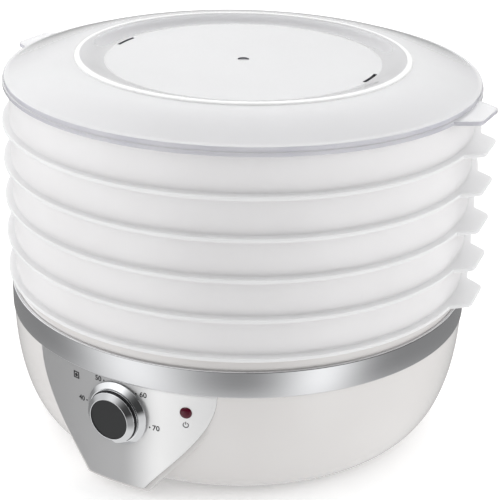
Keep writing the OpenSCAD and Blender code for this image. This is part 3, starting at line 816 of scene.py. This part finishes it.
def knob_piece(name, corners, material, body, slot, *nodes):
    """Turned piece on the knob's axis; its profile's heights are distances out from the base's axis."""
    obj = lathe(name, fillet(corners), material, 128, 30)
    normals = obj.modifiers.new("normals", "WEIGHTED_NORMAL")
    normals.keep_sharp = True
    obj.data.transform(Matrix.Translation((KNOB_X, 0, 0)) @ outward(0, KNOB_Z))
    return place(obj, body, slot, *nodes)


def knob():
    back = -SKIRT_HIGH.y
    front = KNOB_FRONT
    shoulder = back + 3.8 * MM
    bore_r = 12 * MM
    socket_r = 9.5 * MM
    shaft_r = 3 * MM
    foot_r = 17.5 * MM
    step_r = 17.9 * MM
    waist_r = 16 * MM
    bezel_r = 17.2 * MM
    face_r = 13.5 * MM
    face_back = front - 3 * MM
    socket_end = front - 5 * MM
    knob_piece("knob_ring", [
        (bore_r, back, 0),
        (KNOB_R, back, 0.3 * MM),
        (KNOB_R, back + 0.8 * MM, 0.3 * MM),
        (18.5 * MM, shoulder, 0.3 * MM),
        (bore_r, shoulder, 0),
    ], KNOB_CHROME, "knob", "chrome_trim", "knob_skirt")
    bezel = knob_piece("knob_waist", [
        (socket_r, shoulder, 0),
        (foot_r, shoulder, 0),
        (foot_r, shoulder + 0.3 * MM, 0),
        (step_r, shoulder + 0.3 * MM, 0.15 * MM),
        (step_r, shoulder + 0.9 * MM, 0.15 * MM),
        (17.0 * MM, shoulder + 1.1 * MM, 0.1 * MM),
        (16.9 * MM, shoulder + 1.5 * MM, 0.1 * MM),
        (waist_r, shoulder + 1.7 * MM, 0.2 * MM),
        (waist_r, front - 3.6 * MM, 0.3 * MM),
        (bezel_r, front - 3.1 * MM, 0.2 * MM),
        (bezel_r, front - 2.5 * MM, 0.25 * MM),
        (13.9 * MM, front, 0.15 * MM),
        (face_r, front, 0.1 * MM),
        (face_r, face_back, 0),
        (shaft_r, face_back, 0),
        (shaft_r, socket_end, 0),
        (socket_r, socket_end, 0),
    ], KNOB_CHROME, "knob", "chrome_trim", "knob_body")
    # painted shade: the grooves under the bezel and above the skirt take a near-black matt finish
    # instead of chrome
    bezel.data.materials.append(KNOB_GROOVE_PAINTED_SHADE)
    for polygon in bezel.data.polygons:
        depth = -polygon.center.y
        over_skirt_shade = shoulder - 0.01 * MM < depth < shoulder + 0.29 * MM
        under_bezel_shade = shoulder + 1.0 * MM < depth < front - 3.15 * MM
        polygon.material_index = 1 if over_skirt_shade or under_bezel_shade else 0
    knob_piece("knob_cap", [
        (0, face_back, 0),
        (face_r, face_back, 0),
        (face_r, front - 0.6 * MM, 0.4 * MM),
        (0, front - 0.45 * MM, 0),
    ], KNOB_DARK, "knob", "knob_dark", "knob_face")


def lamp():
    """Domed red lens, its stem reaching back through the panel."""
    low = PANEL_R - PANEL_T - 6 * MM
    r = 3.9 * MM
    rise = 1.6 * MM
    dome = [(0, low), (r, low)]
    dome += [(r * math.cos(math.radians(a)), PANEL_R + rise * math.sin(math.radians(a)))
             for a in range(0, 91, 9)]
    obj = lathe("lamp_dome", dome, LAMP_RED, 64, 40)
    obj.data.transform(outward(LAMP_ANGLE, LENS_Z))
    place(obj, "base", "lamp_red", "indicator_lens")


# ---------------------------------------------------------------- trays and lid


def tray_ring_profile():
    """Closed section of a tray: spigot, flange, wall and the ledge that holds its floor."""
    return fillet([
        (SPIGOT_R - 2 * MM, -SPIGOT_H, 0.5 * MM),
        (SPIGOT_R, -SPIGOT_H, 0.5 * MM),
        (SPIGOT_R, 0, 0.3 * MM),
        (FLANGE_R, 0, 0.7 * MM),
        (FLANGE_R, FLANGE_T, 0.7 * MM),
        (TRAY_R, FLANGE_T, 1.2 * MM),
        (TRAY_R, TRAY_PITCH, 0.5 * MM),
        (TRAY_R - TRAY_T, TRAY_PITCH, 0.5 * MM),
        (TRAY_R - TRAY_T, FLANGE_T, 1.0 * MM),
        (FLOOR_R, FLANGE_T, 0.4 * MM),
        (FLOOR_R, 0, 0.4 * MM),
        (SPIGOT_R - 2 * MM, 0, 0.4 * MM),
    ])


def at_tray(obj, index):
    """Lifts a piece drawn on the tray's own underside to its place in the stack."""
    obj.data.transform(
        Matrix.Translation((0, 0, TRAY_LOW[index] + SPIGOT_H))
        @ Matrix.Rotation(TRAY_TURN, 4, "Z")
    )


def tray(index):
    bm = bmesh.new()
    profile = tray_ring_profile()
    follow = [1.0 if r > FLANGE_R - 1.5 * MM else 0.0 for r, _ in profile]
    add_lathe(bm, profile, flange_samples(FLANGE_R, TAB_R), follow)
    # painted shade: faces out past the wall take the darker flange copy
    flange_shade_r = TRAY_R + 0.4 * MM
    for face in bm.faces:
        middle = face.calc_center_median()
        face.material_index = int(math.hypot(middle.x, middle.y) > flange_shade_r)
    obj = finish_mesh(f"tray_body_{index}", bm, TRAY_MILKY)
    obj.data.materials.append(TRAY_FLANGE_PAINTED_SHADE)
    at_tray(obj, index)
    place(obj, f"tray_{index}", "tray_milky", f"tray_{index}")


def tray_floor(index):
    """Open grid of fine rings on spokes, round a hole for the rising air."""
    bm = bmesh.new()
    hole_r = 15 * MM
    gaps = 19
    spokes = 32
    bar = 1.6 * MM
    half = bar / 2
    step = (FLOOR_R - bar - hole_r) / gaps
    for i in range(gaps + 1):
        r = hole_r + i * step
        profile = [(r, 0.1 * MM), (r + bar, 0.1 * MM), (r + bar, 2 * MM), (r, 2 * MM)]
        add_lathe(bm, profile, circle_samples(96))
    for i in range(spokes):
        turn = Matrix.Rotation(math.tau * i / spokes, 4, "Z")
        add_box(bm, (hole_r + half, -half, 0), (FLOOR_R - half, half, 1.8 * MM), turn)
    obj = finish_mesh(f"tray_floor_{index}", bm, TRAY_MILKY)
    at_tray(obj, index)
    place(obj, f"tray_{index}", "tray_milky", f"grid_{index}")


def lid_slope(r):
    """Height of the lid's outer slope above the rim's underside, at radius r."""
    up = (LID_SHOULDER_R - r) / (LID_SHOULDER_R - LID_RING_R - LID_RIDGE_HALF)
    return LID_RIM_H + (LID_RING_H - LID_RIDGE_H - LID_RIM_H) * math.sin(math.pi / 2 * up)


def lid_dish(r):
    """Height of the face between the ridge and the flat centre, at radius r."""
    down = (r - LID_DISC_R) / (LID_RING_R - LID_RIDGE_HALF / 2 - LID_DISC_R)
    return LID_DISC_Z + (LID_RING_H - LID_DISC_Z) * (1 - math.cos(math.pi * down)) / 2


def lid_profile():
    """Closed section of the lid, and the two profile sides that its vent slots go through."""
    slot_in = LID_DISC_R - 3 * MM
    slot_out = slot_in + 2.4 * MM
    dimple_z = LID_DISC_Z - 0.9 * MM
    steps = 24
    slope_end = LID_RING_R + LID_RIDGE_HALF
    dish_end = LID_RING_R - LID_RIDGE_HALF / 2
    slope = [LID_SHOULDER_R + (slope_end - LID_SHOULDER_R) * i / steps for i in range(steps + 1)]
    dish = [dish_end + (LID_DISC_R - dish_end) * i / steps for i in range(1, steps + 1)]
    top = [(r, lid_slope(r)) for r in slope]
    top += [(slope_end - 0.15 * MM, LID_RING_H - 0.7 * MM)]
    top += [(slope_end - 0.4 * MM, LID_RING_H - 0.35 * MM)]
    top += [(slope_end - 0.8 * MM, LID_RING_H - 0.1 * MM)]
    top += [(slope_end - 1.3 * MM, LID_RING_H), (dish_end + 0.6 * MM, LID_RING_H)]
    top += [(r, lid_dish(r)) for r in dish]
    slot_side = len(top)
    top += [(slot_out, LID_DISC_Z), (slot_in, LID_DISC_Z)]
    top += [(r * MM, LID_DISC_Z) for r in (70, 40, 15)]
    top += [(LID_DIMPLE_R + LID_DIMPLE_WALL, LID_DISC_Z)]
    under = [(r, z - LID_T) for r, z in top]
    top += [(LID_DIMPLE_R, dimple_z), (0, dimple_z)]
    under += [(0, LID_DISC_Z - LID_T)]
    rim_in = LID_WALL_R - LID_T
    rim = fillet([
        (under[0][0], under[0][1], 0),
        (rim_in, LID_RIM_H - LID_T, 0.6 * MM),
        (rim_in, FLANGE_T, 0.3 * MM),
        (SPIGOT_R - 2 * MM, FLANGE_T, 0.3 * MM),
        (SPIGOT_R - 2 * MM, -SPIGOT_H, 0.4 * MM),
        (SPIGOT_R, -SPIGOT_H, 0.4 * MM),
        (SPIGOT_R, 0, 0.2 * MM),
        (LID_FLANGE_R, 0, 0.6 * MM),
        (LID_FLANGE_R, LID_FLANGE_T, 0.6 * MM),
        (LID_WALL_R, LID_FLANGE_T, 0.3 * MM),
        (LID_WALL_R, LID_RIM_H, 1.2 * MM),
        (top[0][0], top[0][1], 0),
    ])
    profile = top + list(reversed(under)) + rim[1:-1]
    under_side = len(top) + len(under) - 2 - slot_side
    return profile, slot_side, under_side


def lid():
    profile, slot_side, under_side = lid_profile()
    follow = [1.0 if r > LID_FLANGE_R - 0.7 * MM and z < LID_FLANGE_T + 1e-6 else 0.0
              for r, z in profile]
    ends = [turn + LID_SLOT_TURN + half for turn in (0, math.pi)
            for half in (-LID_SLOT_HALF, LID_SLOT_HALF)]
    samples = with_angles(flange_samples(LID_FLANGE_R, LID_TAB_R), ends)
    bm = bmesh.new()
    rings, faces = add_lathe(bm, profile, samples, follow)
    # vent slots: both faces are opened and the cut is walled all round; the walls take a near-black
    # finish, painted shade inside the slots
    count = len(samples)
    walls = (slot_side, slot_side + 1, under_side, under_side + 1)
    opened = []
    for turn in (0, math.pi):
        middle = turn + LID_SLOT_TURN
        inside = [abs((a - middle + math.pi) % math.tau - math.pi) < LID_SLOT_HALF + 1e-6
                  for a, _ in samples]
        spans = [k for k in range(count) if inside[k] and inside[(k + 1) % count]]
        for k in spans:
            a = rings[k]
            b = rings[(k + 1) % count]
            opened += [faces[k, slot_side], faces[k, under_side]]
            outer = bm.faces.new([a[walls[0]], b[walls[0]], b[walls[3]], a[walls[3]]])
            inner = bm.faces.new([a[walls[1]], b[walls[1]], b[walls[2]], a[walls[2]]])
            outer.material_index = 2
            inner.material_index = 2
        first = next(k for k in range(count) if inside[k] and (k - 1) % count not in spans)
        last = next(k for k in range(count) if inside[k] and k not in spans)
        for k in (first, last):
            bm.faces.new([rings[k][i] for i in walls]).material_index = 2
    bmesh.ops.delete(bm, geom=opened, context="FACES")
    bm.normal_update()
    rim_r = LID_SHOULDER_R + 0.5 * MM
    for face in bm.faces:
        middle = face.calc_center_median()
        r = math.hypot(middle.x, middle.y)
        # painted shade: the rim's side faces take the darker, cooler copy of the plastic
        if r > rim_r and abs(face.normal.z) < 0.6:
            face.material_index = 1
        # painted shadow: the dimple's wall takes the same near-black finish
        elif 0 < r - LID_DIMPLE_R < LID_DIMPLE_WALL and middle.z > LID_DISC_Z - 1 * MM:
            face.material_index = 2
        # painted shade: the dish takes the darker, clearer copy
        elif LID_DISC_R < r < LID_RING_R - LID_RIDGE_HALF:
            face.material_index = 3
        # painted highlight: the ridge's top takes the whiter copy
        elif abs(r - LID_RING_R) < LID_RIDGE_HALF and middle.z > LID_RING_H - 1 * MM:
            face.material_index = 4
    obj = finish_mesh("lid_shell", bm, LID_CLEAR, 30)
    obj.data.materials.append(LID_EDGE_PAINTED_SHADE)
    obj.data.materials.append(LID_CUT_PAINTED_SHADE)
    obj.data.materials.append(LID_DISH_PAINTED_SHADE)
    obj.data.materials.append(LID_RIDGE_PAINTED_HIGHLIGHT)
    obj.data.transform(
        Matrix.Translation((0, 0, LID_LOW.z + SPIGOT_H)) @ Matrix.Rotation(LID_TURN, 4, "Z")
    )
    place(obj, "lid", "lid_clear", "lid")


def cord_gland():
    """Rubber bush of the mains inlet, with its collar against the back of the base."""
    near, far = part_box("cord_gland")
    bore_r = 3.7 * MM
    neck_r = 6 * MM
    collar_r = 10 * MM
    obj = lathe("inlet_bush", fillet([
        (bore_r, near.y, 0.3 * MM),
        (neck_r, near.y, 0.3 * MM),
        (neck_r, BASE_R, 0.2 * MM),
        (collar_r, BASE_R, 0.4 * MM),
        (collar_r, BASE_R + 2.5 * MM, 0.8 * MM),
        (neck_r + 0.6 * MM, BASE_R + 4 * MM, 1.5 * MM),
        (neck_r, far.y, 0.8 * MM),
        (bore_r, far.y, 0.6 * MM),
    ]), RUBBER, 64, 30)
    obj.data.transform(outward(math.pi, (near.z + far.z) / 2))
    place(obj, "base", "gland_rubber", "cord_gland")


# ---------------------------------------------------------------- stage, light and camera
# Azimuths are anticlockwise from the front, seen from above; VIEW_ELEVATION is in degrees

VIEW_AZIMUTH = math.radians(28.8)
VIEW_ELEVATION = 23.66
VIEW_ROLL = math.radians(1.305)
VIEW_DISTANCE = 0.96
VIEW_TARGET_Z = 0.112


def towards(azimuth, elevation):
    """Unit vector out to an azimuth, measured from the camera's side, and an elevation."""
    a = VIEW_AZIMUTH + math.radians(azimuth)
    e = math.radians(elevation)
    return Vector((math.sin(a) * math.cos(e), -math.cos(a) * math.cos(e), math.sin(e)))


def camera():
    """Camera at the photograph's angle, with the photograph's slight roll."""
    data = bpy.data.cameras.new("camera")
    data.sensor_width = 36
    data.lens = 98.0
    data.shift_x = 0.022
    obj = bpy.data.objects.new("camera", data)
    bpy.context.scene.collection.objects.link(obj)
    back = towards(0, VIEW_ELEVATION)
    right = Vector((math.cos(VIEW_AZIMUTH), math.sin(VIEW_AZIMUTH), 0))
    up = back.cross(right)
    c = math.cos(VIEW_ROLL)
    s = math.sin(VIEW_ROLL)
    rolled_right = right * c + up * s
    rolled_up = up * c - right * s
    obj.matrix_world = Matrix((
        (rolled_right.x, rolled_up.x, back.x, back.x * VIEW_DISTANCE),
        (rolled_right.y, rolled_up.y, back.y, back.y * VIEW_DISTANCE),
        (rolled_right.z, rolled_up.z, back.z, back.z * VIEW_DISTANCE + VIEW_TARGET_Z),
        (0, 0, 0, 1),
    ))
    bpy.context.scene.camera = obj


def floor():
    bm = bmesh.new()
    bmesh.ops.create_grid(bm, x_segments=1, y_segments=1, size=30)
    mat = material("floor", (0.96, 0.96, 0.96), 0.9, Emission_Color=(1, 1, 1, 1),
                   Emission_Strength=0.2)
    obj = finish_mesh("floor", bm, mat)
    obj.visible_glossy = False


def world_math(tree, operation, *inputs):
    """Math node whose inputs are sockets or plain numbers."""
    made = tree.nodes.new("ShaderNodeMath")
    made.operation = operation
    for slot, value in zip(made.inputs, inputs):
        if isinstance(value, (int, float)):
            slot.default_value = value
        else:
            tree.links.new(value, slot)
    return made.outputs["Value"]


def world_lobe(tree, direction, azimuth, elevation, tightness):
    """Soft round patch of light about one direction, azimuth from the camera's side."""
    dot = tree.nodes.new("ShaderNodeVectorMath")
    dot.operation = "DOT_PRODUCT"
    dot.inputs[1].default_value = towards(azimuth, elevation)
    tree.links.new(direction, dot.inputs[0])
    front = world_math(tree, "MAXIMUM", dot.outputs["Value"], 0.0)
    return world_math(tree, "POWER", front, tightness)


def world_step(tree, value, first, last):
    """Smooth step from 0 to 1 as the value goes from first to last."""
    made = tree.nodes.new("ShaderNodeMapRange")
    made.interpolation_type = "SMOOTHSTEP"
    made.inputs["From Min"].default_value = first
    made.inputs["From Max"].default_value = last
    tree.links.new(value, made.inputs["Value"])
    return made.outputs["Result"]


def world_mix(tree, factor, first, second):
    """Mix of two levels, each a socket or a plain number."""
    made = tree.nodes.new("ShaderNodeMix")
    for key, value in (("Factor", factor), ("A", first), ("B", second)):
        if isinstance(value, (int, float)):
            made.inputs[key].default_value = value
        else:
            tree.links.new(value, made.inputs[key])
    return made.outputs["Result"]


def mirror_studio(tree, direction):
    """What polished faces see: a grey studio with soft bright panels."""
    level = tree.nodes.new("ShaderNodeVectorMath")
    level.operation = "MULTIPLY"
    level.inputs[1].default_value = (1, 1, 0)
    tree.links.new(direction, level.inputs[0])
    flat = tree.nodes.new("ShaderNodeVectorMath")
    flat.operation = "NORMALIZE"
    tree.links.new(level.outputs["Vector"], flat.inputs[0])
    split = tree.nodes.new("ShaderNodeSeparateXYZ")
    tree.links.new(direction, split.inputs["Vector"])
    height = split.outputs["Z"]
    # low down: two tall soft panels either side of the camera
    left = world_lobe(tree, flat.outputs["Vector"], -51, 0, 8)
    right = world_lobe(tree, flat.outputs["Vector"], 42, 0, 15)
    walls = world_math(tree, "ADD", world_math(tree, "MULTIPLY", left, 0.8),
                       world_math(tree, "MULTIPLY", right, 0.85))
    low = world_math(tree, "ADD", walls, 0.26)
    # higher up: a dark ceiling with lights to the left, above and behind
    side = world_math(tree, "MULTIPLY", world_lobe(tree, direction, -120, 30, 6), 1.2)
    above = world_math(tree, "MULTIPLY", world_lobe(tree, direction, -60, 60, 8), 1.6)
    behind = world_math(tree, "MULTIPLY", world_lobe(tree, direction, 180, 35, 4), 1.3)
    lamps = world_math(tree, "ADD", world_math(tree, "ADD", side, above), behind)
    high = world_math(tree, "ADD", lamps, 0.05)
    walls_and_ceiling = world_mix(tree, world_step(tree, height, -0.25, 0.05), low, high)
    # near the nadir: the pale table
    return world_mix(tree, world_step(tree, height, -0.45, -0.8), walls_and_ceiling, 0.75)


def world():
    """White room for the camera and the matt faces, with another picture for mirror rays."""
    made = bpy.data.worlds.new("studio")
    bpy.context.scene.world = made
    made.use_nodes = True
    made.cycles.sampling_method = "NONE"
    tree = made.node_tree
    coords = tree.nodes.new("ShaderNodeTexCoord")
    direction = coords.outputs["Generated"]
    # the room is dimmer behind the camera, so round faces shade towards their middle
    front = world_lobe(tree, direction, 0, 0, 2)
    room = world_math(tree, "SUBTRACT", 1.1, world_math(tree, "MULTIPLY", front, 0.85))
    path = tree.nodes.new("ShaderNodeLightPath")
    backdrop = world_mix(tree, path.outputs["Is Camera Ray"], room, 1.0)
    # only polished reflections see the panels
    mirror = world_math(tree, "MULTIPLY", path.outputs["Is Glossy Ray"],
                        path.outputs["Is Reflection Ray"])
    final = world_mix(tree, mirror, backdrop, mirror_studio(tree, direction))
    shader = tree.nodes["Background"]
    shader.inputs["Color"].default_value = (1, 1, 1, 1)
    tree.links.new(final, shader.inputs["Strength"])


def softbox(name, azimuth, elevation, distance, size, power):
    """Square area light that looks at the object, azimuth measured from the camera's side."""
    data = bpy.data.lights.new(name, "AREA")
    data.shape = "SQUARE"
    data.size = size
    data.energy = power
    obj = bpy.data.objects.new(name, data)
    bpy.context.scene.collection.objects.link(obj)
    back = towards(azimuth, elevation)
    obj.location = back * distance + Vector((0, 0, VIEW_TARGET_Z))
    obj.rotation_mode = "QUATERNION"
    obj.rotation_quaternion = back.to_track_quat("Z", "Y")
    obj.visible_glossy = False


def studio():
    scene = bpy.context.scene
    scene.view_settings.view_transform = "Standard"
    floor()
    world()
    softbox("side_left", -88, 12, 2.0, 1.2, 11)
    softbox("side_right", 88, 12, 2.0, 1.2, 11)
    softbox("top", 180, 80, 2.0, 1.6, 4)


camera()
studio()
finish_cad_nodes()
base_bowl()
control_pod()
chrome_band()
top_cover()
front_panel()
dial_marks()
knob()
lamp()
cord_gland()
for index in range(1, 6):
    tray(index)
    tray_floor(index)
lid()
